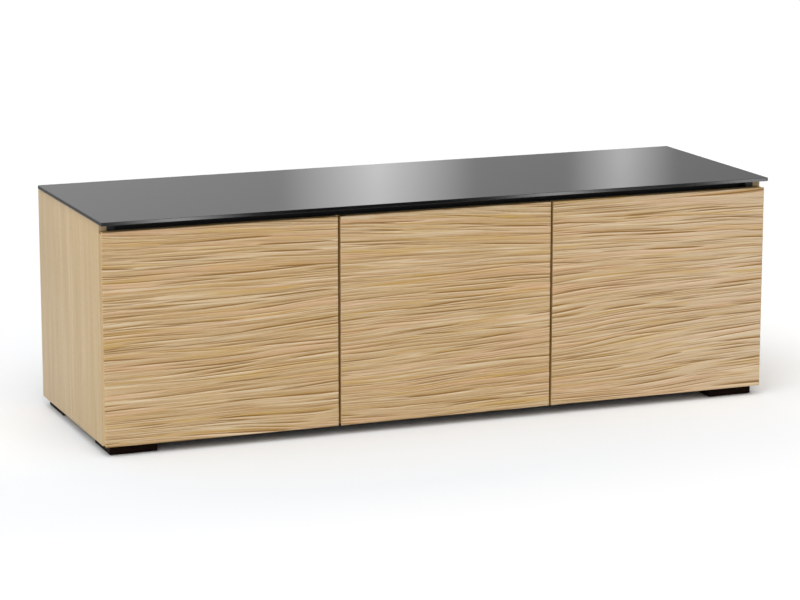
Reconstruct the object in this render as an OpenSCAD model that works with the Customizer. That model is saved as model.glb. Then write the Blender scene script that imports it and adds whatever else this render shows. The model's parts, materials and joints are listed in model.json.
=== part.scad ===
// Three-bay console cabinet: oak side panels round a black carcass, a black glass top that
// floats over a finger channel, and three carved oak doors on concealed pivot hinges.
// X runs along the front, the doors face -Y, and the floor is Z = 0.

/* [Cabinet] */
// Width over the outer faces of the side panels
body_w = 1660; // [1500:10:1800]
// Depth from the carved door faces to the back edges of the side panels
body_d = 545; // [500:5:600]
// Height from the floor to the upper face of the glass
total_h = 541; // [500:1:600]
// Thickness of every carcass panel
panel_t = 19; // [18:1:20]
// Thickness of a back panel
back_t = 6; // [4:1:8]
// Height of the open strip below each back panel, for cables
cable_gap = 48; // [30:1:60]
// Height of the open strip above each back panel, for warm air
vent_gap = 30; // [20:1:50]
// Side of the square cable notch in the lower rear corner of a divider
notch = 60; // [40:1:70]
// Number of upright vent slots in a back panel
vent_count = 14; // [6:1:18]

/* [Glass top] */
// Thickness of the glass
glass_t = 8; // [6:1:10]
// Thickness of the clear pads that the glass rests on
pad_t = 1; // [1:0.5:2]
// How far the glass stands past each side panel
glass_side = 4; // [2:1:8]
// How far the glass stands in front of the door faces
glass_front = 11; // [6:1:16]
// How far the back edge of the glass stays short of the side panels
glass_back = 12; // [6:1:20]

/* [Doors] */
// Thickness of a door's flat core
core_t = 19; // [18:1:20]
// Thickness of the carved oak layer on the core
face_t = 3; // [3:0.5:4]
// Gap between neighbouring doors
door_gap = 6; // [5.5:0.5:8]
// Gap between the closed doors and the carcass edges
back_gap = 3.5; // [3:0.5:5]
// Height of the finger channel between the door tops and the side panel tops
reveal = 16; // [14:1:24]
// Depth of the finger space behind the door tops, from the carcass edges
finger_d = 26.5; // [20:0.5:40]
// Largest opening angle of a door in degrees
door_open = 95; // [80:1:95]
// Distance between neighbouring carved lines
carve_pitch = 13.5; // [11:0.5:20]
// Width of a carved line
carve_w = 2; // [1:0.5:3]
// Depth of a carved line
carve_d = 1.6; // [0.5:0.1:2]
// Swing of a carved line above and below its mean height
carve_swing = 2.4; // [0:0.1:3]

/* [Hinges and catches] */
// Distance of the hinge axis from the door's side edge
axis_in = 8; // [8:0.5:9]
// Distance of the hinge axis behind the carved face
axis_back = 9.5; // [9.5:0.5:10]
// Diameter of a hinge pin
pin_d = 5; // [4:0.5:5]
// Radial clearance of a pin in its bush
pin_fit = 0.05; // [0.03:0.01:0.1]
// Thickness of a hinge bracket's leaf
leaf_t = 3; // [2:0.5:3]
// Height at which the catches sit
catch_z = 400; // [350:1:410]

/* [Shelves] */
// Thickness of a shelf
shelf_t = 16; // [12:1:19]
// Depth of a shelf
shelf_d = 440; // [380:5:440]
// Number of shelf pin holes in each row
hole_rows = 8; // [5:1:8]
// Which row of holes carries the shelves, counted from the bottom
shelf_row = 4; // [1:1:5]

/* [Feet] */
// Height of the body above the floor
foot_h = 23; // [20:1:40]
// Width of a foot along the front
foot_w = 112; // [80:1:140]
// Depth of a foot
foot_d = 121; // [80:1:140]
// How far a foot stands in from the side panel's outer face
foot_in = 15; // [5:1:40]
// Thickness of the glides under the feet
glide_t = 1.5; // [1:0.5:3]

/* [Hidden] */
$fn = 48;

// A cut runs this far past the face it starts from
past = 1;

// Side to side
half_w = body_w / 2;
inner_x = half_w - panel_t;
bay_x = half_w - 2 * panel_t;
bay_w = (2 * bay_x - 2 * panel_t) / 3;
divider_x = (bay_w + panel_t) / 2;
end_x = inner_x - panel_t / 2;

// Front to back
face_y = (glass_front - body_d) / 2;
back_y = face_y + body_d;
core_y = face_y + face_t;
door_back_y = core_y + core_t;
edge_y = door_back_y + back_gap;
channel_y = edge_y + finger_d;
head_h = 2;
rear_y = back_y - back_t - head_h;

// Floor to top
body_top = total_h - glass_t - pad_t;
deck_z = foot_h + panel_t;
ceiling_z = body_top - panel_t;
door_bottom = foot_h + 1;
door_top = body_top - reveal;
rail_h = 58;

// Doors, counted 0 left, 1 middle, 2 right; hand is the side that the hinge is on
door_x0 = [-half_w, -divider_x + door_gap / 2, divider_x + door_gap / 2];
door_x1 = [-divider_x - door_gap / 2, divider_x - door_gap / 2, half_w];
hand = [-1, -1, 1];
hinge_x = [for (i = [0:2]) hand[i] < 0 ? door_x0[i] : door_x1[i]];
latch_x = [for (i = [0:2]) hand[i] < 0 ? door_x1[i] : door_x0[i]];
axis_x = [for (i = [0:2]) hinge_x[i] - hand[i] * axis_in];
axis_y = face_y + axis_back;

// Hinges
leaf_w = 9;
leaf_gap = 0.3;
mortise_h = leaf_t + 2 * leaf_gap;
plate_t = 2;
plate_h = 42;
bush_d = 9;
bush_l = 12;
hinge_head_d = 7;
// Outer and inner end of each bracket's plate, measured from the axis away from the door's side
plate_out = [6, 20, 6];
plate_in = [28, 6, 28];
plate_screw = [20, -11, 20];

// Catches, on the divider face beside the latch edge of each door
catch_face = [-divider_x - panel_t / 2, divider_x - panel_t / 2, divider_x + panel_t / 2];
catch_w = 14;
catch_h = 40;
catch_y0 = door_back_y + 2;
magnet_y0 = door_back_y + 1.5;
strike_t = 1;

// Shelf pins
hole_pitch = 32;
hole_z0 = deck_z + 118;
shelf_pin_d = 5;
shelf_pin_in = 8;
shelf_pin_out = 7;
pin_rows_y = [-190, 190];
shelf_z = hole_z0 + (shelf_row - 1) * hole_pitch + shelf_pin_d / 2;
shelf_y = -205;

// A box between two corners
module block(x, y, z) {
    translate([x[0], y[0], z[0]])
        cube([x[1] - x[0], y[1] - y[0], z[1] - z[0]]);
}

// A countersunk screw with its head face at the origin, running down
module screw(length, d, head_d) {
    cone = (head_d - d) / 2;
    translate([0, 0, -cone])
        cylinder(h = cone, d1 = d, d2 = head_d);
    translate([0, 0, -length + d])
        cylinder(h = length - d - cone + 0.01, d = d);
    translate([0, 0, -length])
        cylinder(h = d, d1 = d / 4, d2 = d);
}

// Turns a screw that runs down so that it runs up
module upward() {
    mirror([0, 0, 1]) children();
}

// Carcass joints: the screws stand in the ends of each upright panel, clear of the cable notches
upright_x = [-end_x, -divider_x, divider_x, end_x];
joint_y = [-195, 0, 190];
carcass_screw_l = 50;
carcass_screw_d = 6;
carcass_head_d = 10;
module carcass_screw_set() {
    for (x = upright_x, y = joint_y) {
        translate([x, y, foot_h])
            upward() screw(carcass_screw_l, carcass_screw_d, carcass_head_d);
        translate([x, y, body_top])
            screw(carcass_screw_l, carcass_screw_d, carcass_head_d);
    }
}
module carcass_screws() {
    color([0.45, 0.45, 0.47]) carcass_screw_set();
}

// Oak side panels are held from inside the end bays
side_screw_y = [-130, 130];
side_screw_z = [110, 440];
module side_screw_set() {
    for (s = [-1, 1], y = side_screw_y, z = side_screw_z)
        translate([s * bay_x, y, z])
            rotate([0, -s * 90, 0])
                screw(32, 5, 9);
}
module side_panel_screws() {
    color([0.2, 0.2, 0.21]) side_screw_set();
}

// The outline of one bracket: z is the edge of the door, up is 1 when the plate rises from it
module bracket_shape(i, z, up, grow) {
    leaf_z = up > 0 ? z + leaf_gap : z - leaf_gap - leaf_t;
    out_x = axis_x[i] + hand[i] * plate_out[i];
    in_x = axis_x[i] - hand[i] * plate_in[i];
    x0 = min(out_x, in_x) - grow;
    x1 = max(out_x, in_x) + grow;
    plate_z = up > 0 ? leaf_z : leaf_z + leaf_t - plate_h;
    block(
        [x0, x1],
        [edge_y - grow, edge_y + plate_t + grow / 4],
        [plate_z - grow, plate_z + plate_h + grow]
    );
    if (grow == 0) {
        block(
            [axis_x[i] - leaf_w / 2, axis_x[i] + leaf_w / 2],
            [axis_y, edge_y + plate_t],
            [leaf_z, leaf_z + leaf_t]
        );
        translate([axis_x[i], axis_y, leaf_z])
            cylinder(h = leaf_t, d = leaf_w);
    }
}
module hinge_screw_set(i) {
    for (rise = [14, 32], up = [0, 1])
        translate([
            axis_x[i] - hand[i] * plate_screw[i],
            edge_y,
            up > 0 ? door_bottom + rise : door_top - rise
        ])
            rotate([90, 0, 0])
                screw(24, 3.5, hinge_head_d);
}
module hinge_brackets(i) {
    color([0.72, 0.6, 0.32])
        difference() {
            union() {
                bracket_shape(i, door_bottom, 1, 0);
                bracket_shape(i, door_top, -1, 0);
            }
            for (z = [door_bottom - past, door_top - leaf_gap - leaf_t - past])
                translate([axis_x[i], axis_y, z])
                    cylinder(h = leaf_t + leaf_gap + 2 * past, d = pin_d);
            hinge_screw_set(i);
        }
}
// Shallow seats let the bracket plates lie flush with the carcass edges
module bracket_seats() {
    for (i = [0:2]) {
        bracket_shape(i, door_bottom, 1, 0.2);
        bracket_shape(i, door_top, -1, 0.2);
        hinge_screw_set(i);
    }
}
module hinge_screws() {
    color([0.55, 0.55, 0.57])
        for (i = [0:2]) hinge_screw_set(i);
}
pin_l = leaf_t + bush_l - 0.5;
module hinge_pins(i) {
    color([0.75, 0.75, 0.77])
        for (z = [door_bottom + leaf_gap, door_top - leaf_gap - pin_l])
            translate([axis_x[i], axis_y, z])
                cylinder(h = pin_l, d = pin_d);
}

// Outer side panels
module side_panel(s) {
    x = [min(s * inner_x, s * half_w), max(s * inner_x, s * half_w)];
    color([0.79, 0.69, 0.53])
        difference() {
            block(x, [edge_y, back_y], [foot_h, body_top]);
            bracket_seats();
            side_screw_set();
        }
}
module left_side_panel() { side_panel(-1); }
module right_side_panel() { side_panel(1); }

// Rows of shelf pin holes bored into one face; s is the way the hole runs
module pin_holes(x, s) {
    for (y = pin_rows_y, row = [0:hole_rows - 1])
        translate([x - s * past, y, hole_z0 + row * hole_pitch])
            rotate([0, s * 90, 0])
                cylinder(h = shelf_pin_in + 0.5 + past, d = shelf_pin_d + 0.2);
}

// Inner end panels, with a horn at the front that closes the end of the finger channel
module inner_panel(s) {
    x = [min(s * bay_x, s * inner_x), max(s * bay_x, s * inner_x)];
    color([0.07, 0.07, 0.07])
        difference() {
            union() {
                block(x, [edge_y, rear_y], [deck_z, ceiling_z]);
                block(x, [edge_y, channel_y], [ceiling_z - past, body_top]);
            }
            pin_holes(s * bay_x, s);
            bracket_seats();
            side_screw_set();
            carcass_screw_set();
            back_screw_set();
        }
}
module left_inner_panel() { inner_panel(-1); }
module right_inner_panel() { inner_panel(1); }

// Dividers have a cable notch that the grommet lines
grommet_t = 2;
module divider(s) {
    x = [s * divider_x - panel_t / 2, s * divider_x + panel_t / 2];
    color([0.07, 0.07, 0.07])
        difference() {
            block(x, [edge_y, rear_y], [deck_z, ceiling_z]);
            block(
                [x[0] - past, x[1] + past],
                [rear_y - notch, rear_y + past],
                [deck_z - past, deck_z + notch]
            );
            pin_holes(x[0], 1);
            pin_holes(x[1], -1);
            bracket_seats();
            catch_screw_set();
            carcass_screw_set();
            back_screw_set();
        }
}
module left_divider() { divider(-1); }
module right_divider() { divider(1); }

// An angled plastic edge guard lines each cable notch
module divider_grommets() {
    color([0.15, 0.15, 0.15])
        for (s = [-1, 1])
            translate([s * divider_x - panel_t / 2 - past, rear_y - notch, deck_z])
                difference() {
                    cube([panel_t + 2 * past, notch, notch]);
                    translate([-past, grommet_t, -past])
                        cube([panel_t + 4 * past, notch, notch - grommet_t + past]);
                }
}

module bottom_panel() {
    color([0.07, 0.07, 0.07])
        difference() {
            block([-inner_x, inner_x], [edge_y, rear_y], [foot_h, deck_z]);
            bracket_seats();
            carcass_screw_set();
            foot_screw_set();
        }
}
module top_panel() {
    color([0.07, 0.07, 0.07])
        difference() {
            block([-inner_x, inner_x], [channel_y, rear_y], [ceiling_z, body_top]);
            carcass_screw_set();
        }
}

// Rails close the back of the finger channel, one in each bay
module front_rail(bay) {
    x = bay * (bay_w + panel_t);
    color([0.06, 0.06, 0.06])
        block(
            [x - bay_w / 2, x + bay_w / 2],
            [channel_y, channel_y + panel_t],
            [ceiling_z - rail_h, ceiling_z]
        );
}
module left_front_rail() { front_rail(-1); }
module middle_front_rail() { front_rail(0); }
module right_front_rail() { front_rail(1); }

// Glass top and its pads
glass_x = half_w + glass_side;
glass_y = [face_y - glass_front, back_y - glass_back];
bevel = 0.8;
module glass_top() {
    outline = [
        [glass_y[0], bevel],
        [glass_y[0] + bevel, 0],
        [glass_y[1] - bevel, 0],
        [glass_y[1], bevel],
        [glass_y[1], glass_t - bevel],
        [glass_y[1] - bevel, glass_t],
        [glass_y[0] + bevel, glass_t],
        [glass_y[0], glass_t - bevel]
    ];
    color([0.03, 0.03, 0.035])
        translate([-glass_x, 0, total_h - glass_t])
            rotate([90, 0, 90])
                linear_extrude(height = 2 * glass_x)
                    polygon(outline);
}
module glass_pads() {
    color([0.7, 0.7, 0.7])
        for (x = [-780, -480, -120, 120, 480, 780], y = [channel_y + 20, rear_y - 30])
            translate([x, y, body_top])
                cylinder(h = pad_t, d = 12);
}

// Back panels lie on the rear edges of the uprights
back_z = [deck_z + cable_gap, ceiling_z - vent_gap];
back_x0 = [-inner_x + 0.5, -divider_x + 0.5, divider_x + 0.5];
back_x1 = [-divider_x - 0.5, divider_x - 0.5, inner_x - 0.5];
back_screw_x = [-end_x, -divider_x - 5, -divider_x + 5, divider_x - 5, divider_x + 5, end_x];
back_screw_z = [deck_z + 85, (back_z[0] + back_z[1]) / 2, back_z[1] - 20];
back_screw_d = 3.5;
module back_screw_set() {
    for (x = back_screw_x, z = back_screw_z)
        translate([x, rear_y + back_t + head_h, z])
            rotate([90, 0, 0]) {
                cylinder(h = head_h, d = 7);
                cylinder(h = 24, d = back_screw_d);
            }
}
module back_panel_screws() {
    color([0.12, 0.12, 0.12]) back_screw_set();
}
vent_w = 8;
vent_h = 110;
module vent_slot() {
    translate([-vent_w / 2, -past, 0])
        cube([vent_w, back_t + 2 * past, vent_h - vent_w]);
    for (z = [0, vent_h - vent_w])
        translate([0, -past, z])
            rotate([-90, 0, 0])
                cylinder(h = back_t + 2 * past, d = vent_w);
}
module back_panel(i) {
    middle = (back_x0[i] + back_x1[i]) / 2;
    color([0.09, 0.09, 0.09])
        difference() {
            block([back_x0[i], back_x1[i]], [rear_y, rear_y + back_t], back_z);
            for (k = [0:vent_count - 1])
                translate([middle + (k - (vent_count - 1) / 2) * 24, rear_y, back_z[0] + 190])
                    vent_slot();
            back_screw_set();
        }
}
module left_back_panel() { back_panel(0); }
module middle_back_panel() { back_panel(1); }
module right_back_panel() { back_panel(2); }

// Shelves and the pins that carry them
module shelf(bay) {
    x = bay * (bay_w + panel_t);
    color([0.08, 0.08, 0.08])
        block(
            [x - bay_w / 2 + 1, x + bay_w / 2 - 1],
            [shelf_y, shelf_y + shelf_d],
            [shelf_z, shelf_z + shelf_t]
        );
}
module left_shelf() { shelf(-1); }
module middle_shelf() { shelf(0); }
module right_shelf() { shelf(1); }
module shelf_pins() {
    color([0.75, 0.75, 0.77])
        for (bay = [-1, 0, 1], s = [-1, 1], y = pin_rows_y)
            translate([
                bay * (bay_w + panel_t) + s * (bay_w / 2 + shelf_pin_in),
                y,
                shelf_z - shelf_pin_d / 2
            ])
                rotate([0, -s * 90, 0])
                    cylinder(h = shelf_pin_in + shelf_pin_out, d = shelf_pin_d);
}

// Feet: solid blocks screwed up into the bottom panel, each on four glides
foot_front_y = edge_y - back_gap;
foot_back_y = back_y - 5 - foot_d;
module foot_place(s, y0) {
    translate([s * (half_w - foot_in - foot_w / 2), y0 + foot_d / 2, 0]) children();
}
foot_screw_x = [-30, 30];
foot_head_z = 8;
module foot_screw_set() {
    for (s = [-1, 1], y0 = [foot_front_y, foot_back_y])
        foot_place(s, y0)
            for (x = foot_screw_x)
                translate([x, 0, glide_t + foot_head_z])
                    upward() screw(28, 4.5, 8.5);
}
module foot(s, y0) {
    color([0.06, 0.045, 0.035])
        difference() {
            foot_place(s, y0)
                block([-foot_w / 2, foot_w / 2], [-foot_d / 2, foot_d / 2], [glide_t, foot_h]);
            foot_place(s, y0)
                for (x = foot_screw_x)
                    translate([x, 0, glide_t - past])
                        cylinder(h = foot_head_z + past, d = 10);
            foot_screw_set();
        }
}
module front_left_foot() { foot(-1, foot_front_y); }
module front_right_foot() { foot(1, foot_front_y); }
module back_left_foot() { foot(-1, foot_back_y); }
module back_right_foot() { foot(1, foot_back_y); }
module foot_screws() {
    color([0.45, 0.45, 0.47]) foot_screw_set();
}
glide_in = 18;
module foot_glides() {
    color([0.12, 0.12, 0.12])
        for (s = [-1, 1], y0 = [foot_front_y, foot_back_y])
            foot_place(s, y0)
                for (x = [-1, 1], y = [-1, 1])
                    translate([x * (foot_w / 2 - glide_in), y * (foot_d / 2 - glide_in), 0])
                        cylinder(h = glide_t, d = 26);
}

// Magnetic catches; side is the way a housing stands off its divider
catch_side = [-1, -1, 1];
function catch_x(i) = catch_face[i] + catch_side[i] * catch_w / 2;
catch_d = 20;
magnet_w = 5;
magnet_h = 28;
magnet_d = 14;
module magnet_shape(i) {
    translate([catch_x(i) - magnet_w / 2, magnet_y0, catch_z - magnet_h / 2])
        cube([magnet_w, magnet_d, magnet_h]);
}
module catch_screw_set() {
    for (i = [0:2], z = [-1, 1])
        translate([
            catch_face[i] + catch_side[i] * 3,
            catch_y0 + catch_d - 2,
            catch_z + z * (catch_h / 2 + 6)
        ])
            rotate([0, catch_side[i] * 90, 0])
                screw(11, 3, 5.5);
}
module catch_housings() {
    color([0.85, 0.85, 0.83])
        difference() {
            for (i = [0:2]) {
                translate([catch_x(i) - catch_w / 2, catch_y0, catch_z - catch_h / 2])
                    cube([catch_w, catch_d, catch_h]);
                wing_x = catch_side[i] > 0 ? catch_face[i] : catch_face[i] - 3;
                translate([wing_x, catch_y0 + catch_d - 8, catch_z - catch_h / 2 - 11])
                    cube([3, 12, catch_h + 22]);
            }
            for (i = [0:2]) magnet_shape(i);
            catch_screw_set();
        }
}
module catch_magnets() {
    color([0.3, 0.3, 0.32])
        for (i = [0:2]) magnet_shape(i);
}
module catch_screws() {
    color([0.6, 0.6, 0.62]) catch_screw_set();
}

// Height of a carved line at x: two slow waves, out of step from line to line
function carve_z(x, line) =
    carve_swing * (sin(360 * x / 420 + 41 * line) + 0.5 * sin(360 * x / 173 + 67 * line)) / 1.5;
carve_steps = 16;
module carved_line(x0, x1, z, line) {
    step = (x1 - x0 + 2 * past) / carve_steps;
    xs = [for (k = [0:carve_steps]) x0 - past + k * step];
    upper = [for (x = xs) [x, z + carve_z(x, line) + carve_w / 2]];
    lower = [for (k = [carve_steps:-1:0]) [xs[k], z + carve_z(xs[k], line) - carve_w / 2]];
    translate([0, face_y + carve_d, 0])
        rotate([90, 0, 0])
            linear_extrude(height = carve_d + past)
                polygon(concat(upper, lower));
}
carve_lines = floor((door_top - door_bottom) / carve_pitch) - 1;
module door_face(i) {
    margin = (door_top - door_bottom - (carve_lines - 1) * carve_pitch) / 2;
    color([0.8, 0.69, 0.51])
        difference() {
            block([door_x0[i], door_x1[i]], [face_y, core_y], [door_bottom, door_top]);
            for (line = [0:carve_lines - 1])
                carved_line(
                    door_x0[i],
                    door_x1[i],
                    door_bottom + margin + line * carve_pitch,
                    line + 5 * i
                );
        }
}

// A door core is mortised at its hinge corners, where the fixed leaves reach the pins
module door_core(i) {
    corner_x = hinge_x[i] - hand[i] * (axis_in + leaf_w / 2 + 0.7);
    x = [
        min(corner_x, hinge_x[i] + hand[i] * past),
        max(corner_x, hinge_x[i] + hand[i] * past)
    ];
    color([0.74, 0.63, 0.47])
        difference() {
            block([door_x0[i], door_x1[i]], [core_y, door_back_y], [door_bottom, door_top]);
            block(x, [core_y - past, door_back_y + past], [door_bottom - past, door_bottom + mortise_h]);
            block(x, [core_y - past, door_back_y + past], [door_top - mortise_h, door_top + past]);
            for (z = [door_bottom, door_top - mortise_h - bush_l - past])
                translate([axis_x[i], axis_y, z])
                    cylinder(h = mortise_h + bush_l + past, d = bush_d);
            strike_screw_set(i);
        }
}
module door_bushes(i) {
    color([0.72, 0.6, 0.32])
        for (z = [door_bottom + mortise_h, door_top - mortise_h - bush_l])
            translate([axis_x[i], axis_y, z])
                difference() {
                    cylinder(h = bush_l, d = bush_d);
                    translate([0, 0, -past])
                        cylinder(h = bush_l + 2 * past, d = pin_d + 2 * pin_fit);
                }
}
module strike_screw_set(i) {
    translate([catch_x(i), door_back_y + strike_t, catch_z])
        rotate([-90, 0, 0])
            screw(14, 3, 5);
}
module door_strike(i) {
    color([0.7, 0.7, 0.72])
        difference() {
            block(
                [catch_x(i) - 6, catch_x(i) + 6],
                [door_back_y, door_back_y + strike_t],
                [catch_z - 17, catch_z + 17]
            );
            strike_screw_set(i);
        }
}
module door_strike_screws(i) {
    color([0.6, 0.6, 0.62]) strike_screw_set(i);
}
bumper_d = 6;
module door_bumpers(i) {
    color([0.8, 0.8, 0.78])
        for (z = [door_bottom + 90, door_top - 50])
            translate([latch_x[i] + hand[i] * (bumper_d / 2 + 0.3), door_back_y, z])
                rotate([-90, 0, 0])
                    cylinder(h = back_gap - 0.3, d = bumper_d);
}

left_side_panel();
right_side_panel();
left_inner_panel();
right_inner_panel();
left_divider();
right_divider();
bottom_panel();
top_panel();
left_front_rail();
middle_front_rail();
right_front_rail();
glass_top();
glass_pads();
left_back_panel();
middle_back_panel();
right_back_panel();
back_panel_screws();
left_shelf();
middle_shelf();
right_shelf();
shelf_pins();
front_left_foot();
front_right_foot();
back_left_foot();
back_right_foot();
foot_screws();
foot_glides();
carcass_screws();
side_panel_screws();
divider_grommets();
hinge_brackets(0);  // left_hinge_brackets
hinge_brackets(1);  // middle_hinge_brackets
hinge_brackets(2);  // right_hinge_brackets
hinge_pins(0);  // left_hinge_pins
hinge_pins(1);  // middle_hinge_pins
hinge_pins(2);  // right_hinge_pins
hinge_screws();
catch_housings();
catch_magnets();
catch_screws();
door_core(0);  // left_door_core
door_face(0);  // left_door_face
door_bushes(0);  // left_door_bushes
door_strike(0);  // left_door_strike
door_strike_screws(0);  // left_door_strike_screws
door_bumpers(0);  // left_door_bumpers
door_core(1);  // middle_door_core
door_face(1);  // middle_door_face
door_bushes(1);  // middle_door_bushes
door_strike(1);  // middle_door_strike
door_strike_screws(1);  // middle_door_strike_screws
door_bumpers(1);  // middle_door_bumpers
door_core(2);  // right_door_core
door_face(2);  // right_door_face
door_bushes(2);  // right_door_bushes
door_strike(2);  // right_door_strike
door_strike_screws(2);  // right_door_strike_screws
door_bumpers(2);  // right_door_bumpers
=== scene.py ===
"""Looks of a three-bay console cabinet: carved oak doors, oak sides and a black glass top."""

import json
import math
from collections import namedtuple

import bmesh
import bpy
import numpy as np
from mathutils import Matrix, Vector


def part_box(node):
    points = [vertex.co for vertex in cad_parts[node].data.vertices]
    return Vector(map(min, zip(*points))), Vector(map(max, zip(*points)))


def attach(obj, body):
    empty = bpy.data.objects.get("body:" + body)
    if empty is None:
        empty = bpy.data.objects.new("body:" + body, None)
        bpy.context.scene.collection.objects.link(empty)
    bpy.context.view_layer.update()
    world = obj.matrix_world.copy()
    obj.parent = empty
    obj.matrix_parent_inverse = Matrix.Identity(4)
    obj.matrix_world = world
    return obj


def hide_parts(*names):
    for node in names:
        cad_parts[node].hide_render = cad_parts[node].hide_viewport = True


MM = 0.001
# Corners of a CAD mesh closer than this are one
WELD = 0.01 * MM
BAYS = ("left", "middle", "right")
SIDES = ("left", "right")

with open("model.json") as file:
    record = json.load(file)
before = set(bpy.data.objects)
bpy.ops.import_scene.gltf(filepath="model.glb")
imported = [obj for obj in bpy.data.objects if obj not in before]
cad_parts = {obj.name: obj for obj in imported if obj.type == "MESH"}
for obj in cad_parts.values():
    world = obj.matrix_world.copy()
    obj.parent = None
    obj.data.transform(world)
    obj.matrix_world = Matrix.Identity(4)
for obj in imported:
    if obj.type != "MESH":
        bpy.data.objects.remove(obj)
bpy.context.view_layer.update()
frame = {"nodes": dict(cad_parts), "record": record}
scene = bpy.context.scene
BODIES = frame["record"]["behaviour"]["bodies"]
BODY_OF = {node: body for body, nodes in BODIES.items() for node in nodes}
SLOT_OF = {part["node"]: part["material_slot"] for part in frame["record"]["subparts"]}


# ---------------------------------------------------------------- camera

# Place in metres, heading to the right and angle downwards; lens and sensor width in millimetres
CAMERA_AT = (-2.583, -6.479, 1.698)
CAMERA_YAW = math.radians(21.64)
CAMERA_PITCH = math.radians(11.73)
CAMERA_LENS = 132.6
CAMERA_SENSOR = 36


def make_camera():
    """A long lens from the left, a little above the glass top."""
    data = bpy.data.cameras.new("camera")
    data.sensor_width = CAMERA_SENSOR
    data.lens = CAMERA_LENS
    camera = bpy.data.objects.new("camera", data)
    scene.collection.objects.link(camera)
    level = math.cos(CAMERA_PITCH)
    ahead, right = math.cos(CAMERA_YAW) * level, math.sin(CAMERA_YAW) * level
    aim = Vector((right, ahead, -math.sin(CAMERA_PITCH)))
    camera.location = CAMERA_AT
    camera.rotation_euler = aim.to_track_quat("-Z", "Y").to_euler()
    scene.camera = camera


make_camera()


# ---------------------------------------------------------------- node helpers


def linear(red, green, blue):
    """A linear colour from 0-255 display values."""
    parts = [value / 255 for value in (red, green, blue)]
    return [p / 12.92 if p <= 0.04045 else ((p + 0.055) / 1.055) ** 2.4 for p in parts] + [1.0]


def add(tree, kind, inputs=None, **settings):
    """Adds a node. Values that are sockets are linked, all others are set."""
    made = tree.nodes.new(kind)
    for name, value in settings.items():
        setattr(made, name, value)
    for name, value in (inputs or {}).items():
        if isinstance(value, bpy.types.NodeSocket):
            tree.links.new(value, made.inputs[name])
        else:
            made.inputs[name].default_value = value
    return made


def sums(tree, operation, a, b=0.0, clamp=False):
    """A Math node's output."""
    made = add(tree, "ShaderNodeMath", {0: a, 1: b}, operation=operation, use_clamp=clamp)
    return made.outputs[0]


def vectors(tree, operation, a, b=(0, 0, 0), output=0):
    """A Vector Math node's output, by default the vector."""
    return add(tree, "ShaderNodeVectorMath", {0: a, 1: b}, operation=operation).outputs[output]


def blend(tree, factor, a, b, mode="MIX"):
    """A colour mix."""
    made = add(tree, "ShaderNodeMix", {0: factor, 6: a, 7: b}, data_type="RGBA", blend_type=mode)
    return made.outputs[2]


def span(tree, value, low, high, to_low=0.0, to_high=1.0):
    """Maps low..high to to_low..to_high, held at the ends."""
    inputs = {"Value": value, "From Min": low, "From Max": high}
    inputs.update({"To Min": to_low, "To Max": to_high})
    return add(tree, "ShaderNodeMapRange", inputs).outputs[0]


def noise(tree, vector, scale, detail=2.0, roughness=0.5, shift=(0, 0, 0)):
    """Noise stretched by scale, in cycles per metre along each axis."""
    mapped = add(tree, "ShaderNodeMapping", {"Vector": vector, "Scale": scale, "Location": shift})
    inputs = {"Vector": mapped.outputs[0], "Scale": 1.0, "Detail": detail, "Roughness": roughness}
    return add(tree, "ShaderNodeTexNoise", inputs).outputs[0]


def ramp(tree, factor, stops):
    """A colour ramp from (position, colour) stops."""
    made = add(tree, "ShaderNodeValToRGB", {0: factor})
    marks = made.color_ramp.elements
    while len(marks) < len(stops):
        marks.new(0.5)
    for mark, (place, colour) in zip(marks, stops):
        mark.position = place
        mark.color = colour
    return made.outputs[0]


# Noise seldom leaves these levels
NOISE_RANGE = (0.3, 0.7)


def tones(tree, level, first, last):
    """A colour that goes from first to last as a noise rises."""
    return ramp(tree, level, list(zip(NOISE_RANGE, (first, last))))


def vary(tree, level, low, high):
    """A number that goes from low to high as a noise rises."""
    return span(tree, level, *NOISE_RANGE, low, high)


def darker(colour, share):
    """A colour dimmed to a share of itself."""
    return [part * share for part in colour[:3]] + [1]


def grey(tree, level):
    """A grey colour from a number."""
    return add(tree, "ShaderNodeCombineColor", {0: level, 1: level, 2: level}).outputs[0]


def object_place(tree):
    """The coordinates of the row frame, in metres."""
    return add(tree, "ShaderNodeTexCoord").outputs["Object"]


def separate(tree, vector):
    """A vector's X, Y and Z outputs."""
    return add(tree, "ShaderNodeSeparateXYZ", {0: vector}).outputs


def distance(tree, value, middle):
    """How far a value is from middle, either way."""
    return sums(tree, "ABSOLUTE", sums(tree, "SUBTRACT", value, middle))


def material(name, kind="ShaderNodeBsdfPrincipled"):
    """A node material with one shader, and its tree and shader."""
    made = bpy.data.materials.new(name)
    made.use_nodes = True
    tree = made.node_tree
    tree.nodes.clear()
    shader = tree.nodes.new(kind)
    output = tree.nodes.new("ShaderNodeOutputMaterial")
    tree.links.new(shader.outputs[0], output.inputs["Surface"])
    return made, tree, shader


def feed(tree, shader, **values):
    """Sets or links a shader's sockets, named with underscores for spaces."""
    for name, value in values.items():
        socket = shader.inputs[name.replace("_", " ")]
        if isinstance(value, bpy.types.NodeSocket):
            tree.links.new(value, socket)
        else:
            socket.default_value = value


def bump(tree, height, strength, depth):
    """A normal bent by a height."""
    inputs = {"Height": height, "Strength": strength, "Distance": depth}
    return add(tree, "ShaderNodeBump", inputs).outputs[0]


# ---------------------------------------------------------------- materials


def grain_space(tree, along):
    """The row frame's coordinates in metres, turned so that X runs along the grain."""
    axes = separate(tree, object_place(tree))
    order = {"x": (0, 2, 1), "y": (1, 0, 2), "z": (2, 0, 1)}[along]
    return add(tree, "ShaderNodeCombineXYZ", {i: axes[k] for i, k in enumerate(order)}).outputs[0]


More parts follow.
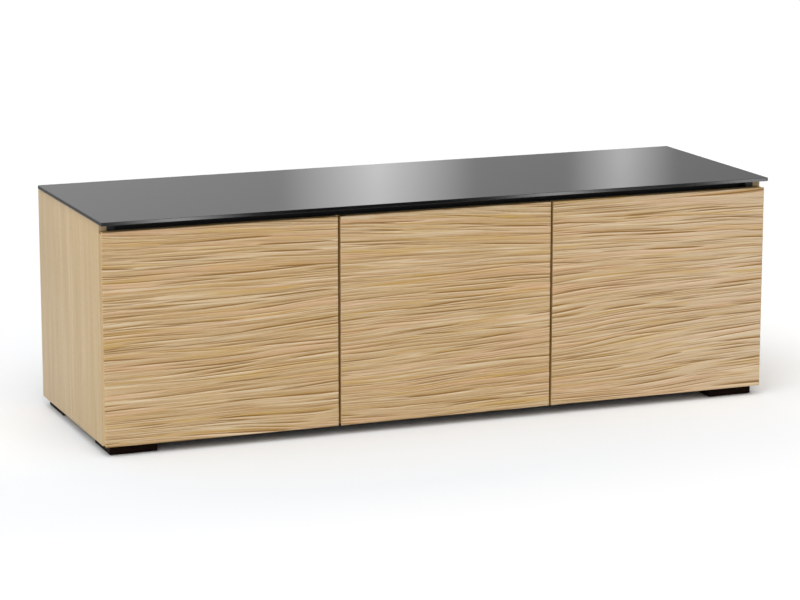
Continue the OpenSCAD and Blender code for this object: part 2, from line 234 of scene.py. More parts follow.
# Noise in oak: cycles per metre along, across and through the board, then detail and roughness
BANDS = ((1.6, 30, 30), 3, 0.55)
STREAKS = ((4, 170, 170), 4, 0.6)
FIBRES = ((18, 1100, 1100), 2, 0.5)
PORES = ((55, 2300, 2300), 0, 0.5)
# How much of the colour the streaks and the pores take
STREAK_SHARE = 0.42
PORE_SHARE = 0.35
PORE_COLOUR = linear(120, 88, 52)
# The grain's lowest and highest level, and the roughness of flat and of carved oak there
GRAIN_HEIGHT = (-0.2, 0.6)
VENEER_ROUGHNESS = (0.46, 0.6)
CARVED_ROUGHNESS = (0.5, 0.62)


def oak_layers(tree, vector, pale, mid, deep):
    """Oak's colour and its fine height, from grain that runs along the vector's X."""
    layers = (BANDS, STREAKS, FIBRES, PORES)
    bands, streaks, fibres, pores = (noise(tree, vector, *layer) for layer in layers)
    body = ramp(tree, bands, [(0.32, pale), (0.5, mid), (0.7, deep)])
    tint = ramp(tree, streaks, [(0.3, pale), (0.72, deep)])
    fine = grey(tree, vary(tree, fibres, 0.93, 1.05))
    colour = blend(tree, 1.0, blend(tree, STREAK_SHARE, body, tint), fine, "MULTIPLY")
    open_pores = span(tree, pores, 0.66, 0.74)
    colour = blend(tree, sums(tree, "MULTIPLY", open_pores, PORE_SHARE), colour, PORE_COLOUR)
    raised, sunk = sums(tree, "MULTIPLY", fibres, 0.6), sums(tree, "MULTIPLY", open_pores, 0.5)
    return colour, sums(tree, "SUBTRACT", raised, sunk)


def veneer(name, along, pale, mid, deep):
    """Flat oak veneer under matt lacquer."""
    made, tree, shader = material(name)
    vector = grain_space(tree, along)
    colour, height = oak_layers(tree, vector, pale, mid, deep)
    gloss = span(tree, height, *GRAIN_HEIGHT, *VENEER_ROUGHNESS)
    relief = bump(tree, height, 0.25, 0.2 * MM)
    feed(tree, shader, Base_Color=colour, Roughness=gloss, Normal=relief)
    return made


# What the carving writes on its mesh for the finish to follow: the flow of the lines, then masks
# of painted shade in each groove and on the ledge above it, and of a painted highlight on the lip
# below it
MARKS = ("flow", "groove_shade", "ledge_shade", "crest_highlight")
# Carved oak's three tones
CARVED_TONES = (linear(198, 173, 138), linear(187, 158, 115), linear(177, 140, 86))
# The paler tone that it drifts to on the right: from where to where in metres, up to what share
DRIFT_TONE = linear(206, 186, 162)
DRIFT_FROM, DRIFT_TO, DRIFT_SHARE = 0.15, 0.8, 0.5
# Warm, golden and silvery patches along the grain: noise, its start and full level, share, tone
PATCHES = (
    (((2.2, 55, 55), 2, 0.5, (3, 7, 1)), 0.5, 0.7, 0.65, linear(204, 162, 128)),
    (((3.0, 120, 120), 3, 0.6, (9, 2, 5)), 0.52, 0.66, 0.75, linear(188, 151, 74)),
    (((3.5, 160, 160), 3, 0.6, (1, 8, 4)), 0.53, 0.68, 0.7, linear(216, 198, 168)),
)
# How each painted mark shows: a gain, or its first and full level and the share from none to most.
# The ledge and groove tones are painted shade, the crest tone is a painted highlight
LEDGE_SHADE_TONE, LEDGE_SHADE_GAIN = linear(165, 124, 48), 1.1
CREST_HIGHLIGHT_TONE, CREST_HIGHLIGHT_SPAN = linear(226, 204, 172), (0.06, 0.5, 0, 0.5)
GROOVE_SHADE_TONE, GROOVE_SHADE_SPAN = linear(118, 80, 6), (0.08, 0.5, 0, 0.85)


def carved_oak():
    """Oak with grain along the carving, golden-brown painted shade above each line, dark painted
    shade in it and a pale painted highlight below it.
    """
    made, tree, shader = material("carved_oak")
    axes = separate(tree, object_place(tree))
    flow, groove_shade, ledge_shade, crest_highlight = (
        add(tree, "ShaderNodeAttribute", attribute_name=name).outputs["Fac"] for name in MARKS
    )
    vector = add(tree, "ShaderNodeCombineXYZ", {0: axes[0], 1: flow, 2: axes[1]}).outputs[0]
    colour, height = oak_layers(tree, vector, *CARVED_TONES)
    drift = span(tree, axes[0], DRIFT_FROM, DRIFT_TO, 0, DRIFT_SHARE)
    colour = blend(tree, drift, colour, DRIFT_TONE)
    for layer, start, full, share, tone in PATCHES:
        patch = span(tree, noise(tree, vector, *layer), start, full, 0, share)
        colour = blend(tree, patch, colour, tone)
    # Painted shade: golden-brown on the ledge above each line and dark in its groove; a pale
    # painted highlight on the lip below it
    colour = blend(tree, sums(tree, "MULTIPLY", ledge_shade, LEDGE_SHADE_GAIN, True), colour, LEDGE_SHADE_TONE)
    colour = blend(tree, span(tree, crest_highlight, *CREST_HIGHLIGHT_SPAN), colour, CREST_HIGHLIGHT_TONE)
    colour = blend(tree, span(tree, groove_shade, *GROOVE_SHADE_SPAN), colour, GROOVE_SHADE_TONE)
    gloss = span(tree, height, *GRAIN_HEIGHT, *CARVED_ROUGHNESS)
    relief = bump(tree, height, 0.3, 0.3 * MM)
    feed(tree, shader, Base_Color=colour, Roughness=gloss, Normal=relief)
    return made


def black_board(name, level, gloss):
    """Black faced board: a faint fine texture and slightly uneven sheen."""
    made, tree, shader = material(name)
    place = object_place(tree)
    fine = noise(tree, place, (900, 900, 900), 2)
    broad = noise(tree, place, (6, 6, 6), 3)
    dark = [level * 0.85, level * 0.85, level * 0.87, 1]
    light = [level * 1.2, level * 1.2, level * 1.2, 1]
    feed(
        tree,
        shader,
        Base_Color=ramp(tree, broad, [(0.35, dark), (0.65, light)]),
        Roughness=vary(tree, fine, gloss - 0.05, gloss + 0.08),
        Normal=bump(tree, fine, 0.12, 0.2 * MM),
    )
    return made


GLASS_DARK = (0.003, 0.003, 0.0035, 1)
GLASS_HAZE = (0.006, 0.006, 0.0065, 1)


def black_glass():
    """Polished glass with an opaque black back coat, and the faint haze of handling."""
    made, tree, shader = material("black_glass")
    place = object_place(tree)
    haze = noise(tree, place, (3.5, 3.5, 3.5), 4, 0.6)
    feed(
        tree,
        shader,
        Base_Color=tones(tree, haze, GLASS_DARK, GLASS_HAZE),
        Roughness=vary(tree, haze, 0.07, 0.1),
        IOR=1.52,
    )
    return made


STAIN_DARK = (0.004, 0.001, 0.0005, 1)
STAIN_LIGHT = (0.01, 0.004, 0.002, 1)


def stained_wood():
    """Nearly black stained wood of the feet."""
    made, tree, shader = material("dark_wood")
    vector = grain_space(tree, "x")
    streaks = noise(tree, vector, (9, 260, 260), 4, 0.6)
    feed(
        tree,
        shader,
        Base_Color=tones(tree, streaks, STAIN_DARK, STAIN_LIGHT),
        Roughness=vary(tree, streaks, 0.55, 0.7),
        Specular_IOR_Level=0.05,
        Normal=bump(tree, streaks, 0.2, 0.3 * MM),
    )
    return made


def metal(name, colour, rough):
    """Metal with fine drawn lines and uneven polish."""
    made, tree, shader = material(name)
    place = object_place(tree)
    lines = noise(tree, place, (40, 40, 900), 3)
    feed(
        tree,
        shader,
        Base_Color=tones(tree, lines, darker(colour, 0.8), colour),
        Metallic=1.0,
        Roughness=vary(tree, lines, rough - 0.06, rough + 0.08),
    )
    return made


def plastic(name, colour, rough):
    """Moulded plastic or rubber with a fine spark texture."""
    made, tree, shader = material(name)
    place = object_place(tree)
    spark = noise(tree, place, (1500, 1500, 1500), 2)
    feed(
        tree,
        shader,
        Base_Color=tones(tree, spark, darker(colour, 0.88), colour),
        Roughness=vary(tree, spark, rough - 0.05, rough + 0.07),
        Normal=bump(tree, spark, 0.15, 0.1 * MM),
    )
    return made


VENEER_TONES = (linear(201, 179, 143), linear(190, 165, 124), linear(178, 152, 111))
DOOR_TONES = (linear(200, 169, 116), linear(190, 157, 103), linear(176, 141, 87))
# A finish for each material slot of the record
FINISHES = {
    "oak_veneer": veneer("oak_veneer", "z", *VENEER_TONES),
    "door_oak": veneer("door_oak", "z", *DOOR_TONES),
    "carved_oak": carved_oak(),
    "black_laminate": black_board("black_laminate", 0.012, 0.48),
    "black_glass": black_glass(),
    "clear_pad": plastic("clear_pad", (0.7, 0.7, 0.68, 1), 0.35),
    "dark_wood": stained_wood(),
    "felt_rubber": plastic("felt_rubber", (0.03, 0.03, 0.03, 1), 0.85),
    "black_plastic": plastic("black_plastic", (0.025, 0.025, 0.025, 1), 0.5),
    "black_steel": plastic("black_steel", (0.02, 0.02, 0.021, 1), 0.38),
    "zinc_steel": metal("zinc_steel", (0.6, 0.6, 0.62, 1), 0.32),
    "bronze": metal("bronze", (0.62, 0.44, 0.2, 1), 0.4),
    "brass": metal("brass", (0.78, 0.6, 0.3, 1), 0.38),
    "white_plastic": plastic("white_plastic", (0.75, 0.75, 0.73, 1), 0.45),
    "magnet": metal("magnet", (0.3, 0.3, 0.32, 1), 0.35),
}

for node, cad in frame["nodes"].items():
    for held in cad.material_slots:
        held.material = FINISHES[SLOT_OF[node]]


def install(name, data, node):
    """Links a new mesh that stands for one CAD node, in its finish, and rides on its body."""
    piece = bpy.data.objects.new(name, data)
    scene.collection.objects.link(piece)
    data.materials.append(FINISHES[SLOT_OF[node]])
    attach(piece, BODY_OF[node])
    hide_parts(node)


# ---------------------------------------------------------------- carved door faces

# Deepest carving, steps of the mesh across and along the lines, and radius of the panel's edges
RELIEF = 2.4 * MM
ROW_STEP = 1.0 * MM
COLUMN_STEP = 3.5 * MM
EDGE_ROUND = 2.2 * MM
# Mesh lines over a rounded edge, at these shares of its radius
EDGE_PLACES = np.array([0.0, 0.08, 0.25, 0.55, 1.0])
# The carving leaves at least this much of the face
THINNEST = 0.1 * MM
# The mesh rows bend to run along the lines, except this near to the top and bottom edges
FOLLOW_MARGIN = 60 * MM
# The bottom of a cut is this round
SOFT_TIP = 0.35 * MM

# How far each door's lines climb to the right, at these shares of its height
CLIMB_AT = (0, 0.35, 0.7, 1)
CLIMB = {
    "left_door_face": (-0.03, 0.04, 0.0, -0.045),
    "middle_door_face": (0.01, 0.035, -0.005, -0.065),
    "right_door_face": (-0.01, 0.06, 0.0, 0.035),
}
FIRST_SEED = 11
# Lines in tiers: spacing, depth, reach above and below, drift, spread of slopes and share cut
Tier = namedtuple("Tier", "spacing depth above below drift slopes share")
TIERS = (
    Tier(15 * MM, 2.4 * MM, 4.0 * MM, 1.3 * MM, 1.8 * MM, 0.021, 0.6),
    Tier(6.0 * MM, 1.6 * MM, 2.2 * MM, 0.9 * MM, 1.2 * MM, 0.019, 0.72),
    Tier(2.8 * MM, 1.0 * MM, 1.2 * MM, 0.7 * MM, 0.6 * MM, 0.012, 0.62),
)
# Shortest and longest waves, in metres, of a line's drift and of the stretches where it is cut
DRIFT_WAVES = (0.35, 1.2)
CUT_WAVES = (0.16, 0.8)
CUT_WAVE_COUNT = 3
# A line's depth and the gap to the next vary by these factors, and its ends fade by this power
DEPTH_RANGE = (0.45, 1.0)
GAP_RANGE = (0.45, 1.55)
CUT_EASE = 0.7
# Width of the groove's painted shade and distance of the lip under it, as factors of the reach
# below
GROOVE_SHADE_WIDTH = 1.1
LIP_AT = 2.2
# The lip stands up by this share of the line's depth, in a face that starts this far back
LIP = 0.3
LIP_ROOM = 0.3 * MM
# Height, and length across and up, of the slow waves that every line follows
WAVES = ((2.2 * MM, 0.9, 0.8), (1.1 * MM, 0.5, 0.4), (0.35 * MM, 0.24, 0.2))
WAVE_RANGE = (0.85, 1.15)
# Tiers start and end this many spacings outside a door
MARGIN = 4


def wander(rng, x, shortest, longest, count=4):
    """A smooth random line over x, about -1 to 1."""
    total = np.zeros_like(x)
    for _ in range(count):
        length = rng.uniform(shortest, longest)
        total += np.sin(2 * math.pi * (x / length + rng.random()))
    return total / math.sqrt(count)


def ease(places, low, high):
    """Depth lost to the rounded edges at low and high."""
    inside = np.minimum(places - low, high - places)
    gap = np.clip(EDGE_ROUND - inside, 0, EDGE_ROUND)
    return EDGE_ROUND - np.sqrt(EDGE_ROUND**2 - gap**2)


def steps(low, high, step):
    """Places from low to high, closer together where the edges are rounded."""
    rim = EDGE_ROUND * EDGE_PLACES
    middle = np.linspace(low + EDGE_ROUND, high - EDGE_ROUND, round((high - low) / step))
    return np.concatenate([low + rim[:-1], middle, (high - rim[:-1])[::-1]])


def stream(low, high, climb, rng):
    """The flow of a door's lines: a function of x and z that is constant along each line."""
    centre = (low[0] + high[0]) / 2
    bend = np.polyfit(CLIMB_AT, climb, 3)
    waves = [
        (size, across * rng.uniform(*WAVE_RANGE), up * rng.choice((-1, 1)), rng.random())
        for size, across, up in WAVES
    ]

    def flow(x, z):
        total = z - np.polyval(bend, (z - low[2]) / (high[2] - low[2])) * (x - centre)
        for size, across, up, phase in waves:
            total = total + size * np.sin(2 * math.pi * (x / across + z / up + phase))
        return total

    return flow


def carve(x, flow, low, high, rng):
    """The carving's depth at each point, and the marks that the finish follows: the flow, masks
    for painted shade and a mask for a painted highlight.
    """
    centre = (low[0] + high[0]) / 2
    line_x = x[:1]
    depth, groove_shade, ledge_shade, crest_highlight = (np.zeros_like(x) for _ in range(4))
    for tier in TIERS:
        start = low[2] - MARGIN * tier.spacing + rng.random() * tier.spacing
        while start < high[2] + MARGIN * tier.spacing:
            offset = tier.drift * wander(rng, line_x, *DRIFT_WAVES)
            offset = offset + rng.normal(0, tier.slopes) * (line_x - centre)
            cut = 0.5 + 0.5 * wander(rng, line_x, *CUT_WAVES, CUT_WAVE_COUNT)
            cut = np.clip((cut - (1 - tier.share)) / tier.share, 0, 1) ** CUT_EASE
            away = flow - start - offset
            reach = np.where(away > 0, tier.above, tier.below)
            near = np.exp(SOFT_TIP / reach - np.sqrt(away**2 + SOFT_TIP**2) / reach)
            part = tier.depth * rng.uniform(*DEPTH_RANGE) * cut
            lip = part * np.exp(-(((away + LIP_AT * tier.below) / tier.below) ** 2))
            depth += part * near - LIP * lip
            # Masks for the finish: painted shade in the groove and on the ledge above the line,
            # and a painted highlight on the lip below it
            dark = part * np.exp(-((away / (GROOVE_SHADE_WIDTH * tier.below)) ** 2))
            groove_shade = np.maximum(groove_shade, dark)
            ledge_shade = np.maximum(ledge_shade, np.where(away > 0, part * near, 0))
            crest_highlight = np.maximum(crest_highlight, lip)
            start += tier.spacing * rng.uniform(*GAP_RANGE)
    depth = RELIEF * (1 - np.exp(-np.maximum(depth, 0) / RELIEF)) + np.minimum(depth, 0)
    shares = (mark / TIERS[0].depth for mark in (groove_shade, ledge_shade, crest_highlight))
    return depth + LIP_ROOM, dict(zip(MARKS, (flow, *shares)))


def carved_face(node, seed):
    """A closed panel whose front is carved."""
    low, high = (np.array(corner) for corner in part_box(node))
    columns = steps(low[0], high[0], COLUMN_STEP)
    rows = steps(low[2], high[2], ROW_STEP)
    x, z = np.meshgrid(columns, rows)
    rng = np.random.default_rng(seed)
    flow = stream(low, high, CLIMB[node], rng)
    inside = np.clip(np.minimum(z - low[2], high[2] - z) / FOLLOW_MARGIN, 0, 1)
    z = z + inside**2 * (3 - 2 * inside) * (z - flow(x, z))
    depth, marks = carve(x, flow(x, z), low, high, rng)
    rim = np.maximum(ease(x, low[0], high[0]), ease(z, low[2], high[2]))
    y = low[1] + np.minimum(depth + rim, high[1] - low[1] - THINNEST)
    front = np.stack([x, y, z], -1).reshape(-1, 3)
    wide, tall = len(columns), len(rows)
    index = np.arange(wide * tall).reshape(tall, wide)
    corners = (index[:-1, :-1], index[:-1, 1:], index[1:, 1:], index[1:, :-1])
    quads = np.stack(corners, -1).reshape(-1, 4)
    loop = np.concatenate([index[0, :-1], index[:-1, -1], index[-1, :0:-1], index[:0:-1, 0]])
    back = front[loop].copy()
    back[:, 1] = high[1]
    after = np.roll(loop, -1)
    back_index = wide * tall + np.arange(len(loop))
    walls = np.stack([loop, back_index, np.roll(back_index, -1), after], -1)
    faces = quads.tolist() + walls.tolist() + [back_index[::-1].tolist()]
    data = bpy.data.meshes.new(node.replace("face", "carving"))
    data.from_pydata(np.concatenate([front, back]).tolist(), [], faces)
    smooth = np.zeros(len(data.polygons), dtype=bool)
    smooth[: len(quads)] = True
    data.polygons.foreach_set("use_smooth", smooth)
    for name, values in marks.items():
        filled = np.concatenate([values.ravel(), values.ravel()[loop]]).astype(np.float32)
        data.attributes.new(name, "FLOAT", "POINT").data.foreach_set("value", filled)
    data.validate()
    install(node.replace("face", "carving"), data, node)


for seed, node in enumerate(CLIMB, FIRST_SEED):
    carved_face(node, seed)


# ---------------------------------------------------------------- panels with softened edges

# Bend above which an edge is rounded, above which shading breaks, and below which it is no edge
SHARP = math.radians(35)
CREASE = math.radians(28)
FLAT = math.radians(1)
SOFT_STEPS = 2
# In boards only the long edges are rounded, and in fittings the short ones too
BOARD_EDGE = 25 * MM
FITTING_EDGE = 3 * MM
# Radius, shortest edge and nodes
SOFTENED = (
    (0.8 * MM, BOARD_EDGE, [side + "_side_panel" for side in SIDES]),
    (1.0 * MM, BOARD_EDGE, [f"{end}_{side}_foot" for end in ("front", "back") for side in SIDES]),
    (0.9 * MM, BOARD_EDGE, [bay + "_shelf" for bay in BAYS]),
    (0.5 * MM, BOARD_EDGE, [bay + "_front_rail" for bay in BAYS]),
    (0.25 * MM, FITTING_EDGE, [bay + "_door_strike" for bay in BAYS] + ["catch_magnets"]),
    (0.3 * MM, FITTING_EDGE, [bay + "_hinge_brackets" for bay in BAYS]),
    (0.5 * MM, FITTING_EDGE, ["catch_housings"]),
)


def node_shape(node):
    """A CAD node's mesh with its corners joined."""
    shape = bmesh.new()
    shape.from_mesh(frame["nodes"][node].data)
    bmesh.ops.remove_doubles(shape, verts=shape.verts, dist=WELD)
    return shape


def round_edges(shape, edges, radius, steps, **limits):
    """Rounds edges of a mesh."""
    bmesh.ops.bevel(
        shape, geom=edges, offset=radius, segments=steps, profile=0.5, affect="EDGES", **limits
    )


def finish_mesh(name, shape, node):
    """Turns a bmesh into a piece that stands for a CAD node, smooth except at its sharp edges."""
    data = bpy.data.meshes.new(name)
    shape.to_mesh(data)
    shape.free()
    data.shade_smooth()
    data.set_sharp_from_angle(angle=CREASE)
    install(name, data, node)


def softened(node, width, shortest):
    """A copy of a CAD node whose sharp edges are rounded."""
    shape = node_shape(node)
    bmesh.ops.dissolve_limit(shape, angle_limit=FLAT, verts=shape.verts, edges=shape.edges)
    sharp = [
        edge
        for edge in shape.edges
        if len(edge.link_faces) == 2
        and edge.calc_length() > shortest
        and edge.calc_face_angle() > SHARP
    ]
    round_edges(shape, sharp, width, SOFT_STEPS, clamp_overlap=True)
    finish_mesh(node + "_eased", shape, node)


for width, shortest, nodes in SOFTENED:
    for node in nodes:
        softened(node, width, shortest)


# ---------------------------------------------------------------- turned hardware

# Sides of a turned piece, and steps of its rims and domes
TURN_STEPS = 24
RIM_STEPS = 4
DOME_STEPS = 6
# A dome starts this many radians from its tip
DOME_START = 0.15
ALONG_X, ALONG_Y, ALONG_Z = range(3)


def solids(node):
    """The points of each separate solid in a CAD node."""
    shape = node_shape(node)
    left = set(shape.verts)
    groups = []
    for vertex in shape.verts:
        if vertex not in left:
            continue
        left.discard(vertex)
        group, waiting = [], [vertex]
        while waiting:
            current = waiting.pop()
            group.append(tuple(current.co))
            for edge in current.link_edges:
                other = edge.other_vert(current)
                if other in left:
                    left.discard(other)
                    waiting.append(other)
        groups.append(np.array(group))
    shape.free()
    return groups


def turn(shape, start, axis, way, profile, recess=None, faced=0):
    """Adds a turned solid from a (depth, radius) profile; recess deepens the first faced rings."""
    side, up = (i for i in range(3) if i != axis)
    rings = []
    for count, (depth, radius) in enumerate(profile):
        ring = []
        for k in range(TURN_STEPS):
            angle = 2 * math.pi * (k + 0.5) / TURN_STEPS
            across, along = radius * math.cos(angle), radius * math.sin(angle)
            point = list(start)
            point[side] += across
            point[up] += along
            point[axis] += way * (depth + (recess(across, along) if count < faced else 0))
            ring.append(shape.verts.new(point))
        rings.append(ring)
    for ring, after in zip(rings, rings[1:]):
        for k in range(TURN_STEPS):
            following = (k + 1) % TURN_STEPS
            shape.faces.new((ring[k], ring[following], after[following], after[k]))
    shape.faces.new(rings[0])
    shape.faces.new(rings[-1][::-1])


def spread(points, axis):
    """A turned solid's centre line, its ends along the axis, and each point's radius."""
    low, high = points.min(0), points.max(0)
    centre = (low + high) / 2
    across = [i for i in range(3) if i != axis]
    return centre, low[axis], high[axis], np.hypot(*(points[:, i] - centre[i] for i in across))


def turned_node(node, axis, outline):
    """Turned copies of a CAD node's round solids; outline(length, radius) gives the profile."""
    shape = bmesh.new()
    for points in solids(node):
        centre, low, high, radii = spread(points, axis)
        start = centre.copy()
        start[axis] = high
        turn(shape, start, axis, -1, outline(high - low, radii.max()))
    bmesh.ops.recalc_face_normals(shape, faces=shape.faces)
    finish_mesh(node + "_turned", shape, node)


def eased_disc(soft):
    """The outline of a plain disc or pin with both rims rounded by soft."""

    def outline(length, radius):
        turns = np.linspace(0, math.pi / 2, RIM_STEPS)
        rim = [(soft * (1 - math.sin(t)), radius - soft * (1 - math.cos(t))) for t in turns]
        return rim[::-1] + [(length - depth, wide) for depth, wide in rim]

    return outline


def dome(length, radius):
    """The outline of a soft bumper, rounded on its free side."""
    turns = np.linspace(DOME_START, math.pi / 2, DOME_STEPS)
    return [(length * (1 - math.cos(t)), radius * math.sin(t)) for t in turns]


for bay in BAYS:
    turned_node(bay + "_hinge_pins", ALONG_Z, eased_disc(0.4 * MM))
for bay in BAYS:
    turned_node(bay + "_door_bumpers", ALONG_Y, dome)
turned_node("shelf_pins", ALONG_X, eased_disc(0.5 * MM))
turned_node("foot_glides", ALONG_Z, eased_disc(0.4 * MM))
turned_node("glass_pads", ALONG_Z, eased_disc(0.25 * MM))


# Rings across a screw's head, from and to these shares of its radius
FACE_RINGS = 10
FACE_REACH = (0.04, 0.94)
# A pan head swells by this share of its height, and a head's rim drops by this share of its radius
CROWN = 0.3
RIM_DROP = 0.05
# Radius between the ridges of the thread, and at the tip, as shares of the shank's
THREAD_ROOT = 0.78
TIP = 0.15
# The cross recess: reach, half width, depth and slope of its sides, as shares of the head's radius
RECESS_REACH = 0.62
RECESS_WIDTH = 0.15
RECESS_DEPTH = 0.5
RECESS_SLOPE = 0.09


def screw_outline(length, head, shank, head_height, pan):
    """A screw's outline from the middle of its head to its tip, with a ridge for each turn."""
    crown = CROWN * head_height if pan else 0.0
    outline = [(crown * (r / head) ** 2, r) for r in np.linspace(*FACE_REACH, FACE_RINGS) * head]
    outline += [(crown + RIM_DROP * head, head), (head_height, head if pan else shank)]
    outline.append((head_height + shank, shank))
    tip = length - 2 * shank
    turns = int((tip - head_height - shank) / shank)
    for k in range(1, 2 * turns):
        ridge = shank if k % 2 == 0 else THREAD_ROOT * shank
        outline.append((head_height + shank * (1 + k / 2), ridge))
    return outline + [(tip, THREAD_ROOT * shank), (length, TIP * shank)]


def cross_recess(head):
    """The depth of a cross recess at each place on a screw's head."""

    def depth(across, along):
        narrow, wide = sorted((abs(across) / head, abs(along) / head))
        slot = 1 - min(max((narrow - RECESS_WIDTH) / RECESS_SLOPE, 0), 1)
        reach = 1 - min(max((wide - RECESS_REACH) / RECESS_SLOPE, 0), 1)
        return RECESS_DEPTH * head * slot * reach

    return depth


# How a plain screw is read: its rim is at this share of its largest radius, only its shank is left
# beyond this share of its length, and its head is this much wider than the shank
RIM_READ = 0.99
SHANK_READ = 0.35
HEAD_READ = 1.05
# A head that is higher than this share of its radius is a pan head, any other is countersunk
PAN_READ = 0.1


def screws(node):
    """Screws with threads and cross recesses in place of a CAD node's plain ones."""
    shape = bmesh.new()
    for points in solids(node):
        axis = int(np.argmax(np.ptp(points, axis=0)))
        centre, low, high, radii = spread(points, axis)
        along = points[:, axis]
        head = radii.max()
        way = 1 if along[radii > head * RIM_READ].mean() < (low + high) / 2 else -1
        start = centre.copy()
        start[axis] = low if way > 0 else high
        reached = np.abs(along - start[axis])
        length = high - low
        shank = radii[reached > length * SHANK_READ].max()
        head_height = reached[radii > shank * HEAD_READ].max()
        pan = head_height > PAN_READ * head
        outline = screw_outline(length, head, shank, head_height if pan else head - shank, pan)
        turn(shape, start, axis, way, outline, cross_recess(head), FACE_RINGS)
    bmesh.ops.recalc_face_normals(shape, faces=shape.faces)
    finish_mesh(node + "_cut", shape, node)


for node in frame["nodes"]:
    if node.endswith("screws"):
        screws(node)


# ---------------------------------------------------------------- glass top

# Radius and steps of the ground corners, seen from above, and of the polished rims
CORNER = 3 * MM
CORNER_STEPS = 6
RIM = 0.6 * MM
RIM_ROUNDING = 4
# An edge that rises less than this is level
LEVEL = 0.1 * MM
# A face whose normal has a larger part than this along one axis is flat
FLAT_FACE = 0.999


def rise(edge):
    """The difference in height between an edge's ends."""
    return abs(edge.verts[0].co.z - edge.verts[1].co.z)


def polished_glass():
    """The glass slab, with its edges ground round and polished."""
    low, high = (Vector(corner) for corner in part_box("glass_top"))
    shape = bmesh.new()
    bmesh.ops.create_cube(shape, size=1)
    for vertex in shape.verts:
        vertex.co = [(low[i] + high[i]) / 2 + vertex.co[i] * (high[i] - low[i]) for i in range(3)]
    round_edges(shape, [edge for edge in shape.edges if rise(edge) > MM], CORNER, CORNER_STEPS)
    level = [edge for edge in shape.edges if rise(edge) < LEVEL]
    rims = [edge for edge in level if edge.calc_face_angle() > SHARP]
    round_edges(shape, rims, RIM, RIM_ROUNDING)
    data = bpy.data.meshes.new("polished_glass")
    shape.to_mesh(data)
    shape.free()
    for face in data.polygons:
        face.use_smooth = max(abs(part) for part in face.normal) < FLAT_FACE
    install("polished_glass", data, "glass_top")


polished_glass()


# ---------------------------------------------------------------- studio

# Where the broad key comes from, how tight it is and its strength
KEY_FROM = Vector((-0.25, -0.5, 0.83)).normalized()
KEY_FOCUS = 5.0
KEY_STRENGTH = 2.58
# The grey room's level on the left and on the right, and the headings between which it changes
ROOM_LEFT = 0.62
ROOM_RIGHT = 0.31
ROOM_TURN = (math.radians(12), math.radians(31))
# Heading, half width in degrees and strength of the soft panels that the glass reflects
PANELS = ((21.2, 1.9, 1.3), (26.0, 1.05, 0.95))
# The panels fade out between these heights
PANEL_TOP = (0.05, 0.4)
# Metres from the floor's middle to its edges, and its faint unevenness: cycles per metre and tones
FLOOR_REACH = 60
FLOOR_SPOTS = (0.7, 0.7, 0.7)
FLOOR_TONES = ((0.93, 0.934, 0.94, 1), (0.938, 0.942, 0.948, 1))
# Painted light and shade on the floor: middle, stretch, where it starts and ends to fade, and tone
FLOOR_PAINTED_LIGHT_AND_SHADE = (
    # Painted light beside the cabinet, on the side away from the key, where its shadow falls
    ((1.35, 0.15, 0.0), (1.0, 1.0, 1.0), (0.45, 1.1), (0.985, 0.985, 0.985, 1)),
    # Painted shade in front of the doors
    ((-0.25, -0.5, 0.0), (0.85, 2.4, 1.0), (0.5, 1.35), (0.845, 0.873, 0.9, 1)),
    # Painted shadow close to the left side panel
    ((-0.85, -0.08, 0.0), (2.0, 0.9, 1.0), (0.1, 0.42), (0.83, 0.855, 0.885, 1)),
)
# Place along a card, half width and strength of each glow on it
FRONT_GLOWS = ((0.23, 0.22, 7.4), (1.59, 0.2, 8.4), (2.36, 0.21, 7.4))
# Cards on the floor that show only in reflections: near corner, far corner, level and glows
CARDS = {
    "front_card": ((-0.9, -4.1), (3.3, -2.2), 0.0, FRONT_GLOWS),
    "left_card": ((-2.3, 2.0), (-1.0, 4.0), 0.33, ()),
}
CARD_LIFT = 2 * MM


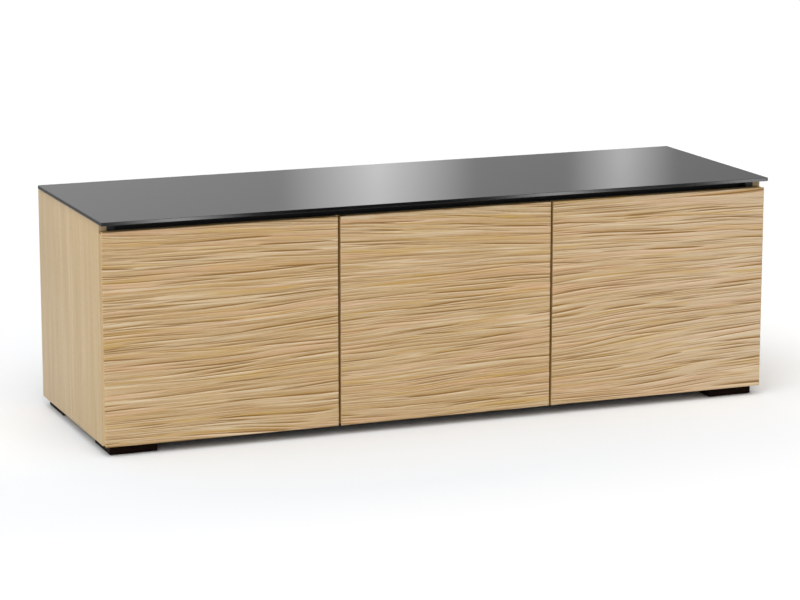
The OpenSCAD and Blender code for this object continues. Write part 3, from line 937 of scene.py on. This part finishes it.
def sky():
    """White for the camera; a grey room, a broad high key and two soft panels for the object."""
    world = bpy.data.worlds.new("studio")
    scene.world = world
    world.use_nodes = True
    tree = world.node_tree
    tree.nodes.clear()
    way = add(tree, "ShaderNodeTexCoord").outputs["Generated"]
    axes = separate(tree, way)
    heading = sums(tree, "ARCTAN2", axes[0], axes[1])
    seen = span(tree, heading, *ROOM_TURN, ROOM_LEFT, ROOM_RIGHT)
    low_sky = span(tree, axes[2], *PANEL_TOP, 1.0, 0.0)
    for centre, half, strength in PANELS:
        away = distance(tree, heading, math.radians(centre))
        panel = span(tree, away, 0.0, math.radians(half), strength, 0.0)
        seen = sums(tree, "ADD", seen, sums(tree, "MULTIPLY", panel, low_sky))
    facing = vectors(tree, "DOT_PRODUCT", way, KEY_FROM, "Value")
    key = sums(tree, "POWER", sums(tree, "MAXIMUM", facing, 0.0), KEY_FOCUS)
    seen = sums(tree, "ADD", seen, sums(tree, "MULTIPLY", key, KEY_STRENGTH))
    camera_ray = add(tree, "ShaderNodeLightPath").outputs["Is Camera Ray"]
    level = add(tree, "ShaderNodeMix", {0: camera_ray, 2: seen, 3: 1.0}, data_type="FLOAT")
    inputs = {"Color": (1, 1, 1, 1), "Strength": level.outputs[0]}
    background = add(tree, "ShaderNodeBackground", inputs)
    output = tree.nodes.new("ShaderNodeOutputWorld")
    tree.links.new(background.outputs[0], output.inputs["Surface"])


def flat(name, near, far, height, paint):
    """A level rectangle of the studio, between two corners."""
    data = bpy.data.meshes.new(name)
    corners = [(near[0], near[1]), (far[0], near[1]), (far[0], far[1]), (near[0], far[1])]
    data.from_pydata([(x, y, height) for x, y in corners], [], [(0, 1, 2, 3)])
    data.materials.append(paint)
    made = bpy.data.objects.new(name, data)
    scene.collection.objects.link(made)
    return made


def floor():
    """A wide matt white floor that fills the picture behind the cabinet, with painted shade and a
    painted lighter patch near the cabinet.
    """
    paint, tree, matt = material("floor_paint", "ShaderNodeBsdfDiffuse")
    place = object_place(tree)
    tone = tones(tree, noise(tree, place, FLOOR_SPOTS, 2), *FLOOR_TONES)
    # Painted light and shade: darker ovals in front of the doors and by the left side panel, a
    # lighter one where the cabinet's shadow falls on the right
    for middle, stretch, fade, painted_tone in FLOOR_PAINTED_LIGHT_AND_SHADE:
        oval = vectors(tree, "MULTIPLY", vectors(tree, "SUBTRACT", place, middle), stretch)
        away = vectors(tree, "LENGTH", oval, output="Value")
        tone = blend(tree, span(tree, away, *fade), painted_tone, tone)
    feed(tree, matt, Color=tone)
    flat("floor", (-FLOOR_REACH, -FLOOR_REACH), (FLOOR_REACH, FLOOR_REACH), 0, paint)


def reflector(name, near, far, level, glows):
    """A card that lights nothing and shows only in reflections."""
    glowing, tree, light = material(name, "ShaderNodeEmission")
    across = separate(tree, object_place(tree))[0]
    strength = level
    for centre, half, peak in glows:
        glow = span(tree, distance(tree, across, centre), 0.0, half, peak, 0.0)
        strength = sums(tree, "ADD", strength, glow)
    feed(tree, light, Color=(1, 1, 1, 1), Strength=strength)
    card = flat(name, near, far, CARD_LIFT, glowing)
    card.visible_camera = card.visible_diffuse = card.visible_shadow = False
    card.visible_transmission = card.visible_volume_scatter = False


scene.view_settings.view_transform = "Standard"
sky()
floor()
for name, card in CARDS.items():
    reflector(name, *card)
